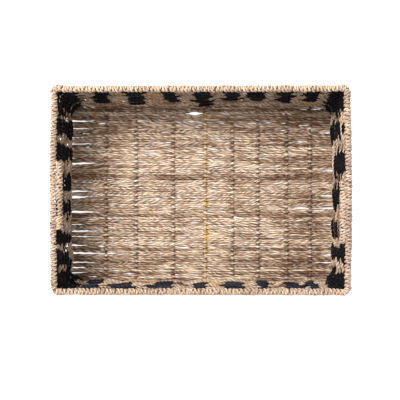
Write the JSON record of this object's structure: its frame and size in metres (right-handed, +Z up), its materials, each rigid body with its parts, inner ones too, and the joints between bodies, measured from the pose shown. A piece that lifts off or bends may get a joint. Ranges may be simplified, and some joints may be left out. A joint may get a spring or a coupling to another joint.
{
  "type": "woven storage basket",
  "caption": "Low rectangular seagrass storage basket on a wire frame, with a lashed rim, black woven spots and a hand-hole in each end wall.",
  "frame": {"origin": "on the table, under the middle of the base", "axes": "+X along the long walls to the right, +Y from the front wall to the back wall, +Z up"},
  "size_m": [0.38, 0.264, 0.115],
  "materials": {
    "frame_wire": "thin steel wire with a brown lacquer",
    "straw_stake": "straw-yellow covered stake, dry and slightly shiny",
    "base_seagrass": "two-ply twisted seagrass twine, greige to brown, dry fibres",
    "wall_seagrass": "two-ply twisted seagrass cord, warm straw",
    "black_cord": "dyed blue-black twisted cord, matt",
    "rim_cord": "pale cream-peach twisted cord, tightly wound"
  },
  "bodies": {
    "root": {"rim_hoop": "frame_wire", "cross_stake_1": "frame_wire", "cross_stake_2": "frame_wire", "cross_stake_3": "frame_wire", "cross_stake_4": "straw_stake", "cross_stake_5": "frame_wire", "cross_stake_6": "frame_wire", "cross_stake_7": "frame_wire", "cross_stake_8": "frame_wire", "left_stake_1": "frame_wire", "left_stake_2": "frame_wire", "left_stake_3": "frame_wire", "left_stake_4": "frame_wire", "left_stake_5": "frame_wire", "left_stake_6": "frame_wire", "right_stake_1": "frame_wire", "right_stake_2": "frame_wire", "right_stake_3": "frame_wire", "right_stake_4": "frame_wire", "right_stake_5": "frame_wire", "corner_post_front_left": "frame_wire", "corner_post_front_right": "frame_wire", "corner_post_back_left": "frame_wire", "corner_post_back_right": "frame_wire", "handle_rail_left": "frame_wire", "handle_rail_right": "frame_wire", "base_hoop": "frame_wire", "base_weave": "base_seagrass", "front_wall_weave": "wall_seagrass", "back_wall_weave": "wall_seagrass", "left_wall_weave": "wall_seagrass", "right_wall_weave": "wall_seagrass", "front_black_spots": "black_cord", "back_black_spots": "black_cord", "left_black_spots": "black_cord", "right_black_spots": "black_cord", "black_corner_front_left": "black_cord", "black_corner_front_right": "black_cord", "black_corner_back_left": "black_cord", "black_corner_back_right": "black_cord", "rim_lashing_front": "rim_cord", "rim_lashing_back": "rim_cord", "rim_lashing_left": "rim_cord", "rim_lashing_right": "rim_cord", "rail_lashing_left": "rim_cord", "rail_lashing_right": "rim_cord"}
  },
  "joints": []
}
